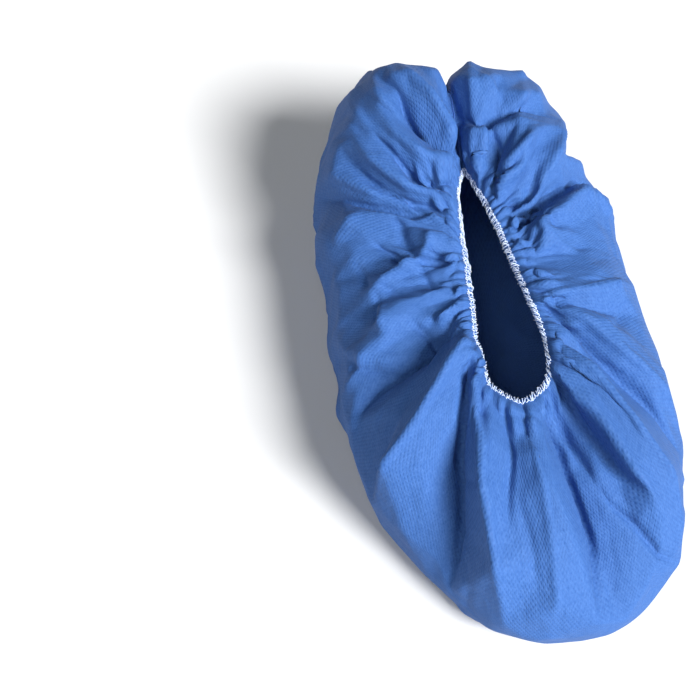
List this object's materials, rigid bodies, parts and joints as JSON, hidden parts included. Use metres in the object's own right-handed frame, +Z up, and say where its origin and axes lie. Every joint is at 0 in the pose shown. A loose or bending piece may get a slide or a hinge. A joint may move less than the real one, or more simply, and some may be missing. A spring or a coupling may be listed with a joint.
{
  "type": "disposable shoe cover",
  "caption": "Disposable nonwoven shoe cover standing on its sole, with a gathered elastic opening, radiating toe folds and puffy heel lobes.",
  "frame": {"origin": "middle of the footprint, on the floor under the sole", "axes": "+Y from the toe to the heel, +Z up, +X to the right when the toe points at the viewer"},
  "size_m": [0.179, 0.3312, 0.1083],
  "materials": {
    "cloth": "blue spunbond nonwoven, fine diagonal embossing, papery and matt",
    "sole": "dark navy coated nonwoven sheet, matt",
    "elastic": "white elastic with fuzzy overlock thread",
    "seam": "same blue nonwoven, welded and stitched along the seam"
  },
  "bodies": {
    "root": {"upper": "cloth", "sole": "sole", "opening_elastic": "elastic", "heel_seam": "seam"}
  },
  "joints": []
}
